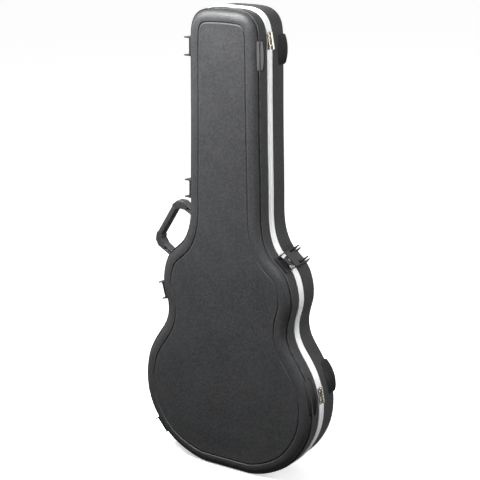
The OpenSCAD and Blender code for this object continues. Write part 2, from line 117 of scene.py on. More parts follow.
def mth(nt, op, a, b):
    n = nt.nodes.new("ShaderNodeMath")
    n.operation = op
    for i, v in enumerate((a, b)):
        if isinstance(v, (int, float)):
            n.inputs[i].default_value = v
        else:
            nt.links.new(v, n.inputs[i])
    return n.outputs["Value"]

def mixc(nt, fac, a, b):
    n = nt.nodes.new("ShaderNodeMix")
    n.data_type = "RGBA"
    nt.links.new(fac, n.inputs["Factor"])
    for s, v in ((n.inputs[6], a), (n.inputs[7], b)):
        if hasattr(v, "links") or hasattr(v, "is_linked"):
            nt.links.new(v, s)
        else:
            s.default_value = (*v, 1)
    return n.outputs[2]

def bump(nt, h, strength, dist, normal=None):
    n = nt.nodes.new("ShaderNodeBump")
    n.inputs["Strength"].default_value = strength
    n.inputs["Distance"].default_value = dist
    nt.links.new(h, n.inputs["Height"])
    if normal is not None:
        nt.links.new(normal, n.inputs["Normal"])
    return n.outputs["Normal"]

def attr(nt, name):
    n = nt.nodes.new("ShaderNodeAttribute")
    n.attribute_name = name
    return n.outputs["Fac"]

# ---------------------------------------------------------------- materials
def shell_plastic():
    mt, nt, p = mat_new("moulded_black")
    v = coords(nt)
    blotch = noise(nt, v, 9, 4, 0.55)
    fine = noise(nt, v, 620, 3, 0.6)
    mid = noise(nt, v, 210, 3, 0.55)
    cell = voro(nt, v, 620)
    col = ramp(nt, blotch, [(0.3, (0.0215, 0.0218, 0.0228)), (0.7, (0.030, 0.0304, 0.0316))])
    pits = rng(nt, cell, 0.05, 0.75, 0.0, 1.0)
    col = mixc(nt, rng(nt, pits, 0.55, 1.0, 0.0, 0.55), col, (0.014, 0.014, 0.015))
    col = mixc(nt, rng(nt, mid, 0.40, 0.62, 0.0, 0.5), col, (0.044, 0.0445, 0.046))
    # Lighter grey mixed in by the per-vertex weight: partly edge wear, partly a painted highlight on the groove rims,
    # rounded edges and ledge lip.
    wear_and_highlight = mth(nt, "MULTIPLY", attr(nt, "wear_and_highlight"), rng(nt, noise(nt, v, 70, 5, 0.7), 0.42, 0.72, 0.0, 1.0))
    col = mixc(nt, wear_and_highlight, col, (0.075, 0.076, 0.079))
    nt.links.new(col, p.inputs["Base Color"])
    r = mth(nt, "ADD", rng(nt, noise(nt, v, 22, 5, 0.6), 0.3, 0.7, 0.40, 0.50), rng(nt, fine, 0.3, 0.7, -0.03, 0.03))
    nt.links.new(r, p.inputs["Roughness"])
    h = mth(nt, "ADD", mth(nt, "MULTIPLY", pits, -1.0), mth(nt, "ADD", mth(nt, "MULTIPLY", fine, 0.5), mth(nt, "MULTIPLY", mid, 0.7)))
    nt.links.new(bump(nt, h, 0.95, 0.00036), p.inputs["Normal"])
    p.inputs["Specular IOR Level"].default_value = 0.24
    return mt

def smooth_plastic(name, base, rough, grain=0.25, scale=600, spec=0.5):
    mt, nt, p = mat_new(name)
    v = coords(nt)
    a = noise(nt, v, 40, 4, 0.6)
    c0 = tuple(x * 0.85 for x in base)
    c1 = tuple(min(1, x * 1.2) for x in base)
    nt.links.new(ramp(nt, a, [(0.3, c0), (0.7, c1)]), p.inputs["Base Color"])
    nt.links.new(rng(nt, noise(nt, v, 120, 4, 0.65), 0.3, 0.7, rough - 0.05, rough + 0.06), p.inputs["Roughness"])
    nt.links.new(bump(nt, noise(nt, v, scale, 3, 0.6), grain, 0.00025), p.inputs["Normal"])
    p.inputs["Specular IOR Level"].default_value = spec
    return mt

def metal(name, base, rough, streak=(1, 1, 1), tint=0.06, grain=0.12, scale=300, metallic=1.0):
    mt, nt, p = mat_new(name)
    v = coords(nt, streak)
    a = noise(nt, v, scale, 4, 0.6)
    c0 = tuple(max(0, x - tint) for x in base)
    nt.links.new(ramp(nt, a, [(0.32, c0), (0.68, base)]), p.inputs["Base Color"])
    p.inputs["Metallic"].default_value = metallic
    nt.links.new(rng(nt, noise(nt, v, scale * 0.6, 4, 0.6), 0.3, 0.7, rough - 0.06, rough + 0.07), p.inputs["Roughness"])
    nt.links.new(bump(nt, a, grain, 0.0001), p.inputs["Normal"])
    return mt

def plush_cloth(name="plush_pile", base=(0.050, 0.050, 0.056)):
    mt, nt, p = mat_new(name)
    v = coords(nt)
    nap = noise(nt, v, 14, 3, 0.6)
    tuft = noise(nt, v, 900, 2, 0.7)
    mid = noise(nt, v, 130, 4, 0.65)
    dark = tuple(x * 0.62 for x in base)
    lite = tuple(x * 1.45 for x in base)
    c = ramp(nt, nap, [(0.35, dark), (0.65, lite)])
    c = mixc(nt, rng(nt, tuft, 0.35, 0.7, 0.0, 0.75), c, dark)
    nt.links.new(c, p.inputs["Base Color"])
    p.inputs["Roughness"].default_value = 0.92
    p.inputs["Specular IOR Level"].default_value = 0.15
    p.inputs["Sheen Weight"].default_value = 0.55
    p.inputs["Sheen Roughness"].default_value = 0.45
    p.inputs["Sheen Tint"].default_value = (0.62, 0.62, 0.66, 1)
    h = mth(nt, "ADD", mth(nt, "MULTIPLY", mid, 1.0), mth(nt, "MULTIPLY", tuft, 0.6))
    nt.links.new(bump(nt, h, 0.9, 0.0011), p.inputs["Normal"])
    return mt

def bead_foam():
    mt, nt, p = mat_new("bead_foam")
    v = coords(nt)
    c = voro(nt, v, 320, "F1")
    nt.links.new(ramp(nt, c, [(0.1, (0.82, 0.82, 0.80)), (0.8, (0.66, 0.66, 0.64))]), p.inputs["Base Color"])
    p.inputs["Roughness"].default_value = 0.85
    nt.links.new(bump(nt, mth(nt, "MULTIPLY", c, -1.0), 0.6, 0.0006), p.inputs["Normal"])
    return mt

def webbing():
    mt, nt, p = mat_new("woven_tab")
    v = coords(nt)
    w = nt.nodes.new("ShaderNodeTexWave")
    w.wave_type = "BANDS"; w.bands_direction = "DIAGONAL"
    w.inputs["Scale"].default_value = 420
    nt.links.new(v, w.inputs["Vector"])
    nt.links.new(ramp(nt, w.outputs["Fac"], [(0.2, (0.015, 0.015, 0.017)), (0.8, (0.045, 0.045, 0.05))]), p.inputs["Base Color"])
    p.inputs["Roughness"].default_value = 0.8
    nt.links.new(bump(nt, w.outputs["Fac"], 0.7, 0.0004), p.inputs["Normal"])
    return mt

M_SHELL = shell_plastic()
M_LATCH = smooth_plastic("latch_black", (0.010, 0.010, 0.011), 0.36, 0.16, 800)
M_FIN = smooth_plastic("latch_frame", (0.013, 0.013, 0.014), 0.30, 0.14, 700)
M_HANDLE = smooth_plastic("handle_black", (0.024, 0.024, 0.026), 0.46, 0.4, 500)
M_GRIP = smooth_plastic("grip_rubber", (0.026, 0.026, 0.028), 0.58, 0.5, 420, 0.4)
M_PAD = smooth_plastic("bumper_black", (0.006, 0.006, 0.0065), 0.42, 0.25, 600, 0.25)
# Lighter grey face material, used only on the top lid bumper: a painted highlight, since the bottom lid bumper, the
# same part, stays all black.
M_PAD_HIGHLIGHT_FACE = smooth_plastic("bumper_face_painted_highlight", (0.085, 0.085, 0.09), 0.42, 0.3, 500)
M_THREAD = smooth_plastic("thread", (0.10, 0.10, 0.11), 0.7, 0.4, 900, 0.3)
M_DARKMETAL = metal("black_metal", (0.05, 0.05, 0.052), 0.34, (1, 1, 1), 0.02, 0.12, 300)
M_RAIL = metal("rail_metal", (0.95, 0.95, 0.96), 0.36, (1, 1, 1), 0.03, 0.08, 500, 0.4)
M_NICKEL = metal("nickel", (0.80, 0.765, 0.68), 0.24, (1, 1, 1), 0.07, 0.10, 200)
M_STEEL = metal("steel", (0.62, 0.62, 0.63), 0.30, (1, 1, 1), 0.06, 0.10, 300)
M_PLUSH = plush_cloth()
M_FOAM = bead_foam()
M_TAB = webbing()

# ---------------------------------------------------------------- smooth curves
case_pts = [
 (0, 0), (70, 1), (122, 17), (169, 46), (207, 92), (231, 150), (235, 205),
 (222, 267), (195, 315), (172, 354), (168, 397), (178, 441), (175, 486),
 (158, 524), (122, 559), (101, 608), (97, 670), (95, 780), (93, 900),
 (92, 1000), (91.4, 1036), (90, 1062), (82, 1088), (64, 1105), (38, 1111.5), (0, 1112.5)]
body_pts = [
 (0, 34), (64, 36), (112, 50), (156, 80), (186, 118), (202, 162), (203, 205),
 (191, 255), (166, 300), (144, 344), (139, 395), (148, 436), (143, 472),
 (122, 500), (94, 516), (70, 524), (48, 534), (0, 538)]

class Curve:
    def __init__(s, pts):
        P = s.P = np.array(pts, float)
        h = s.h = np.linalg.norm(np.diff(P, axis=0), axis=1)
        n = len(P)
        M = np.zeros((n, 2))
        for _ in range(80):
            N = M.copy()
            for i in range(1, n - 1):
                r = 6 * ((P[i + 1] - P[i]) / h[i] - (P[i] - P[i - 1]) / h[i - 1])
                N[i] = (r - h[i - 1] * M[i - 1] - h[i] * M[i + 1]) / (2 * (h[i - 1] + h[i]))
            N[0] = [0, (12 * (P[1] - P[0])[1] / h[0] - 2 * h[0] * M[1][1]) / (4 * h[0])]
            N[-1] = [0, (12 * (P[-2] - P[-1])[1] / h[-1] - 2 * h[-1] * M[-2][1]) / (4 * h[-1])]
            M = N
        s.M = M
    def _ib(s, u):
        u = np.asarray(u, float)
        i = np.minimum(np.floor(u).astype(int), len(s.h) - 1)
        return i, (u - i)[..., None], s.h[i][..., None]
    def pos(s, u):
        i, b, h = s._ib(u); a = 1 - b
        return a * s.P[i] + b * s.P[i + 1] + h * h / 6 * ((a ** 3 - a) * s.M[i] + (b ** 3 - b) * s.M[i + 1])
    def nor(s, u):
        i, b, h = s._ib(u); a = 1 - b
        d = (s.P[i + 1] - s.P[i]) / h + h / 6 * ((1 - 3 * a * a) * s.M[i] + (3 * b * b - 1) * s.M[i + 1])
        d = d / np.linalg.norm(d, axis=-1, keepdims=True)
        return np.stack([d[..., 1], -d[..., 0]], -1)

CASE, BODY = Curve(case_pts), Curve(body_pts)
KF = 12

def loop(e, k=KF, curve=CASE, flat=True):
    n = len(curve.h)
    u = np.arange(n * k + 1) / k
    p = curve.pos(u) - e * curve.nor(u)
    if flat:
        p[:, 1] = np.maximum(p[:, 1], max(e, 0))
    L = p[1:-1][::-1] * [-1, 1]
    return np.concatenate([p, L])

def new_mesh(name, verts, faces, mat, smooth=38, attrs=None):
    me = bpy.data.meshes.new(name)
    me.from_pydata([tuple(v) for v in np.asarray(verts, float) * MM], [], [tuple(int(i) for i in f) for f in faces])
    me.validate()
    if attrs:
        for k, v in attrs.items():
            a = me.attributes.new(k, "FLOAT", "POINT")
            a.data.foreach_set("value", np.asarray(v, np.float32))
    bm = bmesh.new(); bm.from_mesh(me)
    bmesh.ops.recalc_face_normals(bm, faces=bm.faces)
    bm.to_mesh(me); bm.free()
    me.polygons.foreach_set("use_smooth", [True] * len(me.polygons))
    me.set_sharp_from_angle(angle=math.radians(smooth))
    o = bpy.data.objects.new(name, me)
    scene.collection.objects.link(o)
    if mat is not None:
        me.materials.append(mat)
    return o

def sweep(name, rings, mat, k=KF, closed=False, crown=0.0, smooth=38, ends=True):
    """rings: (inset, y[, weight of the lighter mix: edge wear plus painted highlight]) from one end of the skin to
    the other.
    """
    L = [loop(r[0], k) for r in rings]
    n = len(L[0]); h = n // 2
    V, A = [], []
    for r, l in zip(rings, L):
        V.append(np.stack([l[:, 0], np.full(n, r[1], float), l[:, 1]], 1))
        A += [r[2] if len(r) > 2 else 0.0] * n
    V = np.concatenate(V)
    F = []
    idx = np.arange(n)
    m = len(rings)
    for j in range(m if closed else m - 1):
        a, b = j * n, ((j + 1) % m) * n
        F += list(zip(a + idx, a + (idx + 1) % n, b + (idx + 1) % n, b + idx))
    if not closed and ends:
        i0 = k - 1                       # the flat end's points lie in line
        W = 2 * i0
        t = np.arange(W + 1) / W
        base = len(V)
        ext, rows = [], []
        first = [(-i0 + q) % n for q in range(W + 1)]
        rows.append(first)
        zs = L[0][:, 1]
        z0, z1 = zs.min(), zs.max()
        for i in range(i0 + 1, h - i0):
            R, Lf = L[0][i], L[0][n - i]
            row = [n - i]
            for q in range(1, W):
                x = Lf[0] + (R[0] - Lf[0]) * t[q]
                z = R[1]
                g = min(1, (z - z0) / 70) * min(1, (z1 - z) / 70)
                g = g * g * (3 - 2 * g)
                s = 1 - (2 * t[q] - 1) ** 2
                row.append(base + len(ext))
                ext.append((x, rings[0][1] + math.copysign(crown, rings[0][1]) * g * s, z))
            row.append(i)
            rows.append(row)
        rows.append([(n - h + i0 - q) % n if False else (h + i0 - q) % n for q in range(W + 1)])
        V = np.concatenate([V, np.array(ext)])
        A += [0.0] * len(ext)
        for ra, rb in zip(rows, rows[1:]):
            F += [(ra[q], ra[q + 1], rb[q + 1], rb[q]) for q in range(W)]
        F.append(tuple((m - 1) * n + idx))
    return new_mesh(name, V, F, mat, smooth, {"wear_and_highlight": A})

def arc(cx, cy, rx, ry, a0, a1, n, w=0.0):
    """points (cx - rx*cos, cy + ry*sin) with the angle in degrees."""
    out = []
    for i in range(n + 1):
        a = math.radians(a0 + (a1 - a0) * i / n)
        out.append((cx - rx * math.cos(a), cy + ry * math.sin(a), w))
    return out

def stand_for(o, body, slot, *nodes):
    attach(o, body)
    if nodes:
        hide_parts(*nodes)
    return o

# ---------------------------------------------------------------- shells
def groove(y, s):
    """Face groove, from its inner side out; y is the face, s the sign of its outward side."""
    # Third values weight the lighter shell mix on the groove rims: edge wear together with a painted highlight.
    g = [(34.6, 0, 0), (32.9, 0, .25), (32.3, -.12, .5), (31.9, -.45, .3), (31.5, -1.2, 0), (31.0, -1.62, 0), (30.3, -1.8, 0),
         (29.6, -1.8, 0), (28.9, -1.62, 0), (28.4, -1.2, 0), (28.0, -.45, .35), (27.6, -.12, .6), (27.0, 0, .3), (26.2, 0, 0)]
    return [(e, s * (y + d), w) for e, d, w in g]

lid_rings = groove(54, -1)
# Third values on this rounded edge and on the ledge lip below weight the lighter shell mix: edge wear together with a
# painted highlight.
for i in range(0, 15):
    a = math.radians(90 - 90 * i / 14)
    lid_rings.append((3.9 + 21.1 * (1 - math.cos(a)), -(41.0 + 13.0 * math.sin(a)), 0.12 if 2 < i < 9 else 0))
lid_rings += [(3.75, -40.1, 0), (3.4, -39.6, 0), (2.9, -39.45, 0), (2.4, -39.7, 0), (2.0, -40.4, .3), (1.6, -40.95, .8), (1.1, -41.05, 1), (.6, -40.8, 1), (.22, -40.2, .8), (.05, -39.5, .4), (0, -38.6, .1),
              (0, -32, 0), (0, -24, 0), (0, -16, 0), (0, -12.3, .1), (.12, -11.6, .3), (.5, -11.1, .3), (1.2, -10.9, 0), (3.4, -10.9, 0),
              (3.5, -12, 0), (3.5, -36.5, 0), (7, -38.5, 0), (13.5, -45.5, 0), (34, -49.5, 0)]
lid_shell = stand_for(sweep("lid_shell_moulding", lid_rings, M_SHELL, crown=1.6), "lid", "moulded_black", "lid_shell")

base_rings = groove(70, 1)
base_rings += [(22, 70, 0), (16, 70, 0)]
# Third values on this rounded edge weight the lighter shell mix: edge wear together with a painted highlight.
for i in range(0, 11):
    a = math.radians(90 - 90 * i / 10)
    base_rings.append((12 * (1 - math.cos(a)), 58 + 12 * math.sin(a), 0.25 if 2 < i < 8 else 0))
base_rings += [(0, 50, 0), (0, 38, 0), (0, 24, 0), (0, 12.3, .1), (.12, 11.6, .3), (.5, 11.1, .3), (1.2, 10.9, 0), (3.4, 10.9, 0),
               (3.5, 12, 0), (3.5, 58, 0), (6, 64, 0), (12, 66.5, 0), (34, 66.5, 0)]
base_shell = stand_for(sweep("base_shell_moulding", base_rings, M_SHELL, crown=1.6), "base", "moulded_black", "base_shell")

# ---------------------------------------------------------------- rails
def rail_profile(y0, y1, s):
    """Outer face with shallow ribs; s = +1 for the base's rail, -1 for the lid's. y0 is the mating face."""
    pts = [(-.9, y0), (-1.35, y0 + .12 * s), (-1.6, y0 + .5 * s)]
    a, b = y0 + 1.6 * s, y1 - 1.6 * s
    nr = 5
    for i in range(nr):
        c = a + (b - a) * (i + .5) / nr
        pts += [(-1.6, c - .42 * s), (-1.36, c - .2 * s), (-1.36, c + .2 * s), (-1.6, c + .42 * s)]
    pts += [(-1.6, y1 - .7 * s), (-1.35, y1 - .2 * s), (-.7, y1), (3.4, y1), (4.8, y1), (4.8, y0 + .3 * s), (4.5, y0)]
    return pts

base_rail = rail_profile(0.05, 10.4, 1) + [(3.2, .05), (2.9, 1.4), (1.9, 1.4), (1.6, .05)]
base_rail = stand_for(sweep("base_rail_extrusion", base_rail, M_RAIL, closed=True, smooth=25), "base", "rail_metal", "base_rail")
lid_rail = rail_profile(-.6, -10.4, -1) + [(3.0, -.6), (2.8, -.12), (2.0, -.12), (1.8, -.6)]
lid_rail = stand_for(sweep("lid_rail_extrusion", lid_rail, M_RAIL, closed=True, smooth=25), "lid", "rail_metal", "lid_rail")

# ---------------------------------------------------------------- bumpers
def edge_at(u, side=1):
    """Point, outward direction and direction along the edge, at segment number u."""
    p, n = CASE.pos(u), CASE.nor(u)
    return np.array([side * p[0], 0, p[1]]), np.array([side * n[0], 0, n[1]]), np.array([-side * n[1], 0, n[0]])

def u_of(z, lo, hi):
    us = np.linspace(lo, hi, 400)
    return float(us[np.argmin(np.abs(CASE.pos(us)[:, 1] - z))])

def pad(name, z0, z1, lo, hi, prof, mat, face=None, face_segs=(), plump=0.65, nst=33):
    """Pad along the edge from height z0 to z1. prof: (out, y) points; out is scaled along the length."""
    V, F, MI = [], [], []
    ts = np.sin(np.linspace(-1, 1, nst) * math.pi / 2)
    n = len(prof)
    for t in ts:
        z = (z0 + z1) / 2 + (z1 - z0) / 2 * t
        P, X, Z = edge_at(u_of(z, lo, hi))
        end = math.sqrt(max(0.0, 1 - abs(t) ** 14))
        s = (1 - plump + plump * (1 - t * t)) * (0.25 + 0.75 * end)
        yc = sum(p[1] for p in prof) / n
        for o, y in prof:
            oo = o * s if o > 0 else o
            V.append(P + X * oo + np.array([0, yc + (y - yc) * (0.80 + 0.20 * end ** 0.5) * (1 - 0.10 * t * t), 0]))
    for j in range(nst - 1):
        for i in range(n):
            a, b = j * n + i, j * n + (i + 1) % n
            F.append((a, b, b + n, a + n))
            MI.append(1 if (i in face_segs and abs(ts[j]) < 0.93 and abs(ts[j + 1]) < 0.93) else 0)
    F.append(tuple(range(n))); F.append(tuple(range((nst - 1) * n, nst * n))); MI += [0, 0]
    o = new_mesh(name, V, F, mat, 32)
    if face is not None:
        o.data.materials.append(face)
        o.data.polygons.foreach_set("material_index", MI)
    return o

def rounded(pts, r, seg=4, closed=True):
    """Round the corners of a closed polygon of (a, b) points."""
    out, n = [], len(pts)
    for i in range(n):
        p, q, s = np.array(pts[i - 1], float), np.array(pts[i], float), np.array(pts[(i + 1) % n], float)
        d0, d1 = p - q, s - q
        l0, l1 = np.linalg.norm(d0), np.linalg.norm(d1)
        k = min(r, l0 * 0.45, l1 * 0.45)
        a, b = q + d0 / l0 * k, q + d1 / l1 * k
        for j in range(seg + 1):
            t = j / seg
            out.append(tuple((1 - t) ** 2 * a + 2 * t * (1 - t) * q + t * t * b))
    return out

LATCH = {"neck_top": (19.56, -1, 0.3, 2.5), "neck_low": (16.16, -1, 0.3, 2.5), "waist": (10.64, -1, 2.4, 2.5),
         "bottom": (3.53, -1, 0.3, 2.5), "shoulder": (13.4, 1, 1.2, 3.5)}
lid_prof = rounded([(-2.2, -22), (0.4, -22), (4.9, -25), (6.1, -30.0), (5.5, -31.9), (4.6, -31.7), (-5.0, -46.2), (-5.4, -47.4), (-6.4, -47.6), (-8.0, -46.6),
            (-6.2, -44.0), (-4, -40.0), (-2.2, -37.4)], 0.5, 2)
base_prof = rounded([(-2, 37), (1.2, 37.5), (5.6, 50), (8.1, 58.5), (9.5, 61.5), (9.6, 65), (7.6, 67.2), (-3, 67.8), (-9, 69.4), (-9, 60), (-2, 50)], 1.4, 3)
# Only the top lid bumper gets the lighter face (segment 17): a painted highlight on that face.
b1 = pad("lid_bumper_top", 979, 1049, 18, 21.6, lid_prof, M_PAD, M_PAD_HIGHLIGHT_FACE, (17,))
b2 = pad("lid_bumper_bottom", 190, 279, 5, 8.4, lid_prof, M_PAD)
b3 = pad("base_bumper_top", 983, 1051, 18, 21.6, base_prof, M_PAD)
b4 = pad("base_bumper_bottom", 217, 293, 5, 8.4, base_prof, M_PAD)
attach(b1, "lid"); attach(b2, "lid"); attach(b3, "base"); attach(b4, "base")
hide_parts("lid_bumpers"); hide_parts("lid_bumpers"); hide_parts("base_bumpers"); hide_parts("base_bumpers")

# ---------------------------------------------------------------- soft inside
def slab_obj(name, pts, y0, y1):
    n = len(pts)
    V = [(x, y0, z) for x, z in pts] + [(x, y1, z) for x, z in pts]
    F = [tuple(range(n)), tuple(range(n, 2 * n))] + [(i, (i + 1) % n, n + (i + 1) % n, n + i) for i in range(n)]
    return new_mesh(name, V, F, None)

def apply_mods(o):
    dg = bpy.context.evaluated_depsgraph_get()
    me = bpy.data.meshes.new_from_object(o.evaluated_get(dg))
    old = o.data
    o.modifiers.clear()
    o.data = me
    bpy.data.meshes.remove(old)
    return o

def cut(o, *others, op="DIFFERENCE"):
    for c in others:
        b = o.modifiers.new("b", "BOOLEAN")
        b.operation, b.solver, b.object = op, "EXACT", c
        bpy.context.view_layer.update()
        apply_mods(o)
        bpy.data.objects.remove(c)
    return o

def remesh(o, voxel, smooth=4, factor=0.5):
    r = o.modifiers.new("r", "REMESH"); r.mode = "VOXEL"; r.voxel_size = voxel * MM
    s = o.modifiers.new("s", "SMOOTH"); s.iterations = smooth; s.factor = factor
    bpy.context.view_layer.update()
    return apply_mods(o)

def co_of(me):
    a = np.zeros(len(me.vertices) * 3); me.vertices.foreach_get("co", a); return a.reshape(-1, 3)

def no_of(me):
    a = np.zeros(len(me.vertices) * 3); me.vertices.foreach_get("normal", a); return a.reshape(-1, 3)

def puff(me, amp, size, seed=0.0):
    """Gentle unevenness of cloth over foam, made of summed waves."""
    co, no = co_of(me), no_of(me)
    r = np.random.default_rng(7 + int(seed))
    d = np.zeros(len(co))
    for _ in range(14):
        k = r.normal(size=3); k /= np.linalg.norm(k)
        f = r.uniform(0.6, 1.7) * 2 * math.pi / (size * MM)
        d += np.sin(co @ k * f + r.uniform(0, 6.28))
    co += no * (d / 14 * amp * MM * 2.2)[:, None]
    me.vertices.foreach_set("co", co.ravel()); me.update()

def rect(x, z0, z1):
    return [(-x, z0), (x, z0), (x, z1), (-x, z1)]

BOX_Z0, BOX_Z1, BOX_Y, BOX_X = 712, 756, 26, 62.5
top_pts = [(74, 634), (74, 1040), (66, 1072), (44, 1086), (-44, 1086), (-66, 1072), (-74, 1040), (-74, 634)]
head_pts = [(70, 852), (70, 1038), (62, 1068), (42, 1082), (-42, 1082), (-62, 1068), (-70, 1038), (-70, 852)]
bed = slab_obj("foam_bed_padding", loop(5.6, 6), 2.1, 57)
lower = slab_obj("tmp", loop(17, 6), 50, 65.8)
cut(bed, lower, op="UNION")
cut(bed, slab_obj("tmp", loop(0, 6, BODY, False), -5, 56),
    slab_obj("tmp", rect(31, 500, 650), -5, 30),
    slab_obj("tmp", top_pts, -5, BOX_Y - 4),
    slab_obj("tmp", rect(BOX_X, BOX_Z0, BOX_Z1), -5, 56),
    slab_obj("tmp", rect(BOX_X + 3.7, BOX_Z0 - 6, BOX_Z1 + 7), -5, BOX_Y),
    slab_obj("tmp", head_pts, -5, 56))
remesh(bed, 3.0, 5, 0.5)
me = bed.data
co, no = co_of(me), no_of(me)
fc = np.zeros(len(me.polygons) * 3); me.polygons.foreach_get("center", fc); fc = fc.reshape(-1, 3) / MM
fn = np.zeros(len(me.polygons) * 3); me.polygons.foreach_get("normal", fn); fn = fn.reshape(-1, 3)
ring = loop(0, 6)
dist = np.full(len(fc), 1e9)
for i in range(len(ring)):
    dist = np.minimum(dist, np.hypot(fc[:, 0] - ring[i, 0], fc[:, 2] - ring[i, 1]))
keep = ((fn[:, 1] < -0.35) & (fc[:, 1] < 9)) | ((dist > 14) & (fc[:, 1] < 61))
cover = bpy.data.objects.new("base_plush_lining", me.copy())
scene.collection.objects.link(cover)
bm = bmesh.new(); bm.from_mesh(cover.data); bm.faces.ensure_lookup_table()
bmesh.ops.delete(bm, geom=[f for f, k in zip(bm.faces, keep) if not k], context="FACES")
bm.to_mesh(cover.data); bm.free()
c2, n2 = co_of(cover.data), no_of(cover.data)
c2 += n2 * 1.65 * MM
c2[:, 1] = np.maximum(c2[:, 1], 0.62 * MM)
cover.data.vertices.foreach_set("co", c2.ravel()); cover.data.update()
puff(cover.data, 0.35, 55)
sd = cover.modifiers.new("t", "SOLIDIFY"); sd.thickness = 1.3 * MM; sd.offset = -1
bpy.context.view_layer.update(); apply_mods(cover)
for o, mt_, sl in ((bed, M_FOAM, "foam_white"), (cover, M_PLUSH, "plush")):
    o.data.materials.clear(); o.data.materials.append(mt_)
    o.data.polygons.foreach_set("use_smooth", [True] * len(o.data.polygons))
    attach(o, "base")
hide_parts("foam_bed"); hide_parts("base_lining")

lid_pad = sweep("lid_foam_padding", [(33, -38.3), (28.5, -38.1), (26.6, -36.2), (26.1, -33), (26.0, -9), (25.3, -5), (23.4, -3.0), (20.5, -2.3),
    (7, -2.2), (6, -2.6), (5.6, -3.6), (5.6, -33.5), (7.5, -35.3), (18, -36), (24, -41), (26, -46), (33, -46.8)], M_FOAM)
stand_for(lid_pad, "lid", "foam_white", "lid_foam")
fr = [(33.5, -36.55), (31.2, -35.9), (29.2, -34.4), (28.1, -32.2), (27.75, -29.5), (27.7, -25), (27.7, -20), (27.7, -15), (27.7, -10), (27.4, -7.2), (26.5, -4.4), (24.8, -2.3), (22.4, -1.1),
      (19.5, -.68), (16, -.62), (12, -.62), (8, -.62), (6.7, -.75), (6.1, -1.2), (6.0, -1.9), (7, -2.05), (14, -2.05), (20.5, -2.15), (23.6, -2.85), (25.5, -4.9), (26.2, -9), (26.25, -20), (26.25, -33), (26.8, -36.0), (28.6, -37.9), (33.5, -38.1)]
lid_plush = sweep("lid_plush_lining", fr, M_PLUSH, crown=-0.6)
puff(lid_plush.data, 0.22, 60, 3)
stand_for(lid_plush, "lid", "plush", "lid_lining")

# neck rest: a padded block with a round notch, its cover filled by pressure
def inflate(o, frames, pressure, cap, pin_below=None):
    """Cloth with inner pressure, then the move of each point is capped."""
    rest = co_of(o.data)
    md = o.modifiers.new("c", "CLOTH")
    st = md.settings
    st.use_pressure = True; st.uniform_pressure_force = pressure
    st.effector_weights.gravity = 0
    st.tension_stiffness = st.compression_stiffness = 25; st.bending_stiffness = 3
    st.quality = 6; st.mass = 0.2
    md.collision_settings.use_collision = False
    md.point_cache.frame_start, md.point_cache.frame_end = 1, frames
    for f in range(1, frames + 1):
        scene.frame_set(f)
    dg = bpy.context.evaluated_depsgraph_get()
    ev = o.evaluated_get(dg).to_mesh()
    new = co_of(ev)
    o.evaluated_get(dg).to_mesh_clear()
    o.modifiers.remove(md)
    scene.frame_set(1)
    if len(new) == len(rest) and np.isfinite(new).all():
        d = new - rest
        L = np.linalg.norm(d, axis=1, keepdims=True)
        new = rest + d * np.minimum(1, cap * MM / np.maximum(L, 1e-9))
        o.data.vertices.foreach_set("co", new.ravel()); o.data.update()
    return o

rest_o = slab_obj("neck_rest_cushion", rect(70.6, 807, 847), 5.6, 19.6)
bm = bmesh.new()
bmesh.ops.create_cone(bm, cap_ends=True, segments=64, radius1=26.6 * MM, radius2=26.6 * MM, depth=80 * MM, matrix=Matrix.Translation((0, -9 * MM, 827 * MM)))
tmp = bpy.data.meshes.new("tmp"); bm.to_mesh(tmp); bm.free()
tmp_o = bpy.data.objects.new("tmp", tmp); scene.collection.objects.link(tmp_o)
cut(rest_o, tmp_o)
remesh(rest_o, 2.2, 6, 0.5)
inflate(rest_o, 12, 2.5, 0.9)
c = co_of(rest_o.data); c[:, 1] = np.minimum(c[:, 1], 20.2 * MM)
rest_o.data.vertices.foreach_set("co", c.ravel()); rest_o.data.update()
rest_o.data.materials.append(M_PLUSH)
rest_o.data.polygons.foreach_set("use_smooth", [True] * len(rest_o.data.polygons))
stand_for(rest_o, "base", "plush", "neck_rest")

# accessory lid: padded panel with a sewn border and a cloth roll along its hinge
def panel(name, x, z0, z1, y0, y1, mat, crown=0.7, border=7.0, nx=72, nz=30):
    """y0 is the outer (upper) face, y1 the lower one."""
    V, F = [], []
    def surf(ysgn, yb):
        for j in range(nz + 1):
            for i in range(nx + 1):
                a, b = -1 + 2 * i / nx, -1 + 2 * j / nz
                X, Z = x * a, (z0 + z1) / 2 + (z1 - z0) / 2 * b
                ex, ez = x * (1 - abs(a)), (z1 - z0) / 2 * (1 - abs(b))
                e = min(ex, ez)
                rr = 1.0 - max(0.0, 1 - e / 1.6) ** 2
                k = max(0.0, 1 - abs(e - border) / 1.6)
                c = crown * min(1.0, max(0.0, (e - border) / 9)) ** 0.6
                V.append((X, yb + ysgn * (-1.5 * (1 - rr) - 0.75 * k * k + c), Z))
    surf(-1, y0); surf(1, y1)
    n, o = nx + 1, (nx + 1) * (nz + 1)
    for j in range(nz):
        for i in range(nx):
            a = j * n + i
            F.append((a, a + 1, a + n + 1, a + n)); F.append((o + a, o + a + n, o + a + n + 1, o + a + 1))
    rim = [i for i in range(nx)] + [j * n + nx for j in range(nz)] + [nz * n + i for i in range(nx, 0, -1)] + [j * n for j in range(nz, 0, -1)]
    for a, b in zip(rim, rim[1:] + rim[:1]):
        F.append((a, b, o + b, o + a))
    return new_mesh(name, V, F, mat, 60)

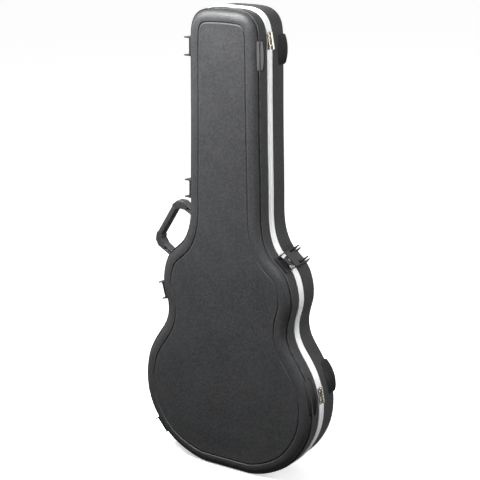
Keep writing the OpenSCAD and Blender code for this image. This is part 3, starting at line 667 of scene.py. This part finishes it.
def tube(name, path, r, mat, seg=12, closed=False):
    """Round bar along a path of points, in millimetres."""
    P = np.array(path, float); n = len(P)
    T = np.gradient(P, axis=0)
    if closed:
        T = np.roll(P, -1, 0) - np.roll(P, 1, 0)
    T /= np.linalg.norm(T, axis=1, keepdims=True)
    ref = np.array([0.0, 0.0, 1.0]) if abs(T[0][2]) < 0.9 else np.array([1.0, 0.0, 0.0])
    N = np.cross(T[0], ref); N /= np.linalg.norm(N)
    V, F = [], []
    for i in range(n):
        N = N - T[i] * (N @ T[i]); N /= np.linalg.norm(N)
        B = np.cross(T[i], N)
        for k in range(seg):
            a = 2 * math.pi * k / seg
            V.append(P[i] + r * (math.cos(a) * N + math.sin(a) * B))
    for i in range(n if closed else n - 1):
        for k in range(seg):
            a, b = i * seg, ((i + 1) % n) * seg
            F.append((a + k, a + (k + 1) % seg, b + (k + 1) % seg, b + k))
    if not closed:
        F.append(tuple(range(seg))); F.append(tuple(range((n - 1) * seg, n * seg)))
    return new_mesh(name, V, F, mat, 50)

def join(a, *others):
    with bpy.context.temp_override(active_object=a, object=a, selected_objects=[a, *others], selected_editable_objects=[a, *others]):
        bpy.ops.object.join()
    return a

acc = panel("accessory_lid_panel", BOX_X + 2.6, BOX_Z0 - 4.9, BOX_Z1 + 2.6, BOX_Y - 4.0, BOX_Y - 0.6, M_PLUSH)
roll = tube("roll", [(x, BOX_Y - 2.3, BOX_Z1 + 4) for x in np.linspace(-60, 60, 25)], 1.15, M_PLUSH)
web = panel("web", 59, BOX_Z1 + 1.5, BOX_Z1 + 4.6, BOX_Y - 2.9, BOX_Y - 1.7, M_PLUSH, 0, 0.4, 40, 4)
join(acc, roll, web)
stand_for(acc, "accessory_lid", "plush", "accessory_lid")

# pull tab: a folded webbing strap with a box stitch and a snap cap
def strap(name, w, z0, z1, y, th, mat, lift=0.0, nz=24, nx=8):
    V, F = [], []
    for s in (0, 1):
        for j in range(nz + 1):
            b = j / nz
            z = z0 + (z1 - z0) * b
            l = lift * max(0.0, (0.35 - b) / 0.35) ** 2
            for i in range(nx + 1):
                a = -1 + 2 * i / nx
                ww = w / 2 * (math.sqrt(max(0, 1 - max(0, (0.10 - b) / 0.10) ** 2)) * 0.35 + 0.65)
                V.append((ww * a, y - l + s * th, z))
    n, o = nx + 1, (nx + 1) * (nz + 1)
    for j in range(nz):
        for i in range(nx):
            a = j * n + i
            F.append((a, a + 1, a + n + 1, a + n)); F.append((o + a, o + a + n, o + a + n + 1, o + a + 1))
    rim = [i for i in range(nx)] + [j * n + nx for j in range(nz)] + [nz * n + i for i in range(nx, 0, -1)] + [j * n for j in range(nz, 0, -1)]
    for a, b in zip(rim, rim[1:] + rim[:1]):
        F.append((a, b, o + b, o + a))
    return new_mesh(name, V, F, mat, 60)

ty = BOX_Y - 6.9
tab = strap("accessory_pull_tab", 16, BOX_Z0 - 10, BOX_Z0 + 10, ty, 1.0, M_TAB, 0.5)
sq = [(-5, BOX_Z0 - 1), (5, BOX_Z0 - 1), (5, BOX_Z0 + 8.6), (-5, BOX_Z0 + 8.6)]
stitches = []
for (xa, za), (xb, zb) in zip(sq, sq[1:] + sq[:1]):
    L = math.hypot(xb - xa, zb - za); k = max(1, round(L / 2.2))
    for i in range(k):
        t0, t1 = (i + 0.15) / k, (i + 0.85) / k
        pts = [(xa + (xb - xa) * t, ty - 0.12 - 0.22 * math.sin(math.pi * (t - t0) / (t1 - t0)), za + (zb - za) * t) for t in np.linspace(t0, t1, 5)]
        stitches.append(tube("st", pts, 0.22, M_THREAD, 6))
join(tab, *stitches)
cap_p = []
for i in range(9):
    a = math.pi / 2 * i / 8
    cap_p.append((2.9 * math.sin(a), -1.1 * math.cos(a)))
V, F = [], []
for r_, y_ in cap_p[1:] + [(2.9, 1.0), (2.6, 1.4), (2.6, 5.9)]:
    for k in range(28):
        a = 2 * math.pi * k / 28
        V.append((r_ * math.cos(a), ty + y_, BOX_Z0 + 5 + r_ * math.sin(a)))
nr = len(V) // 28
for j in range(nr - 1):
    for k in range(28):
        F.append((j * 28 + k, j * 28 + (k + 1) % 28, (j + 1) * 28 + (k + 1) % 28, (j + 1) * 28 + k))
F.append(tuple(range(28))); F.append(tuple(range((nr - 1) * 28, nr * 28)))
snap = new_mesh("accessory_tab_snap", V, F, M_DARKMETAL, 40)
stand_for(tab, "accessory_lid", "tab_webbing", "accessory_tab")
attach(snap, "accessory_lid"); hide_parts("accessory_tab")

# ---------------------------------------------------------------- CAD nodes that stay
def dress(node, mat, width=0.5, seg=3, angle=28, slot=None):
    o = NODES[node]
    if not o.data.materials:
        o.data.materials.append(mat)
    for s in o.material_slots:
        s.material = mat
    o.data.polygons.foreach_set("use_smooth", [True] * len(o.data.polygons))
    w = o.modifiers.new("weld", "WELD"); w.merge_threshold = 2e-6
    d = o.modifiers.new("planes", "DECIMATE"); d.decimate_type = "DISSOLVE"; d.angle_limit = math.radians(0.4)
    if width:
        b = o.modifiers.new("edges", "BEVEL")
        b.width = width * MM; b.segments = seg; b.limit_method = "ANGLE"; b.angle_limit = math.radians(angle)
        b.use_clamp_overlap = True; b.profile = 0.6
        b.harden_normals = False
    wn = o.modifiers.new("normals", "WEIGHTED_NORMAL"); wn.keep_sharp = False; wn.weight = 80
    return o

for n in NAMES:
    dress("keeper_" + n, M_FIN, 0.5)
    dress("bracket_" + n, M_FIN, 0.5)
    dress("hasp_" + n, M_LATCH, 0.45)
    dress("trigger_" + n, M_LATCH, 0.4)
    dress("trigger_pin_" + n, M_STEEL, 0.15, 2)
    u, side, lift, pop = LATCH[n]
    P, X, _ = edge_at(u, side)
    Z = np.cross(X, [0, 1, 0])
    c, s = math.cos(math.radians(pop)), math.sin(math.radians(pop))
    px, py = 8 + 0.8 * c + 52 * s, 40 + 0.8 * s - 52 * c
    wire = [(-1.8, 3.2, -2.9), (-1.8, 1.6, -2.9)]
    for k in range(5 * 28 + 1):
        a_ = math.pi - 2 * math.pi * k / 28
        wire.append((1.8 * math.cos(a_), 1.8 * math.sin(a_), -2.75 + 5.5 * k / 140))
    wire += [(-1.8, 1.6, 2.9), (-1.8, 3.2, 2.9)]
    pts = [P + X * (lift + px + x * c - y * s) + np.array([0, py + x * s + y * c, 0]) + Z * z for x, y, z in wire]
    sp = tube("wound_spring_" + n, pts, 0.33, M_STEEL, 8)
    stand_for(sp, "hasp_" + n, "steel", "spring_" + n)
for n in ("hasp_pins", "handle_pins", "hinge_pins"):
    dress(n, M_STEEL if n != "hinge_pins" else M_NICKEL, 0.3, 3)
for n in ("keeper_rivets", "bracket_rivets", "handle_rivets"):
    dress(n, M_DARKMETAL, 0.25, 3)
for n in ("base_hinge_rivets", "lid_hinge_rivets"):
    dress(n, M_NICKEL, 0.3, 3)
for n in ("base_hinge_leaves", "lid_hinge_leaves"):
    dress(n, M_NICKEL, 0.35, 3)
dress("handle_core", M_HANDLE, 2.0, 5, 12)
dress("handle_grip", M_GRIP, 0.8, 3, 25)
dress("handle_brackets", M_HANDLE, 0.9, 3)

# ---------------------------------------------------------------- floor, lights
def stage_mesh(name, verts, faces, emit, base=0.9):
    me = bpy.data.meshes.new(name); me.from_pydata(verts, [], faces)
    o = bpy.data.objects.new(name, me); scene.collection.objects.link(o)
    mt, nt, p = mat_new(name)
    p.inputs["Base Color"].default_value = (base, base, base, 1)
    p.inputs["Roughness"].default_value = 0.9
    p.inputs["Specular IOR Level"].default_value = 0.1
    p.inputs["Emission Color"].default_value = (1, 1, 1, 1)
    p.inputs["Emission Strength"].default_value = emit
    me.materials.append(mt)
    o.visible_diffuse = o.visible_glossy = False
    return o

floor = stage_mesh("floor", [(-40, -40, -.0005), (40, -40, -.0005), (40, 40, -.0005), (-40, 40, -.0005)], [(0, 1, 2, 3)], 0.52)
q = [(38 * math.cos(2 * math.pi * i / 48), 38 * math.sin(2 * math.pi * i / 48)) for i in range(48)]
wall = stage_mesh("backdrop", [(x, y, -.3) for x, y in q] + [(x, y, 60) for x, y in q], [(i, (i + 1) % 48, 48 + (i + 1) % 48, 48 + i) for i in range(48)] + [tuple(range(48, 96))], 1.15, 0.0)
wall.visible_shadow = False

def area(name, loc, target, size, energy, color=(1, 1, 1)):
    d = bpy.data.lights.new(name, "AREA")
    d.shape = "RECTANGLE"; d.size, d.size_y = size
    d.energy = energy; d.color = color
    o = bpy.data.objects.new(name, d)
    o.location = loc
    o.rotation_mode = "QUATERNION"
    o.rotation_quaternion = (Vector(target) - Vector(loc)).to_track_quat("-Z", "Y")
    o.visible_camera = False
    scene.collection.objects.link(o)
    return o

world = bpy.data.worlds.new("world")
scene.world = world
world.use_nodes = True
wn = world.node_tree
bg = wn.nodes["Background"]
tc = wn.nodes.new("ShaderNodeTexCoord")
sep = wn.nodes.new("ShaderNodeSeparateXYZ")
wn.links.new(tc.outputs["Generated"], sep.inputs["Vector"])
behind = rng(wn, sep.outputs["Y"], -0.1, 0.7, 0.14, 0.62)
over = rng(wn, sep.outputs["Z"], 0.15, 0.9, 0.0, 0.30)
low = rng(wn, sep.outputs["Z"], -0.45, 0.0, 0.35, 1.0)
wn.links.new(mth(wn, "MULTIPLY", mth(wn, "ADD", behind, over), low), bg.inputs["Strength"])
bg.inputs["Color"].default_value = (1, 1, 1, 1)
area("key", (-0.45, -0.78, 1.78), (0.0, 0, 0.62), (0.8, 0.6), 92)
area("rim", (1.9, 1.9, 1.3), (0.1, 0, 0.6), (1.2, 1.8), 8)
area("side", (2.3, -0.35, 0.9), (0.1, 0, 0.6), (1.2, 1.6), 30)
scene.view_settings.view_transform = "Standard"
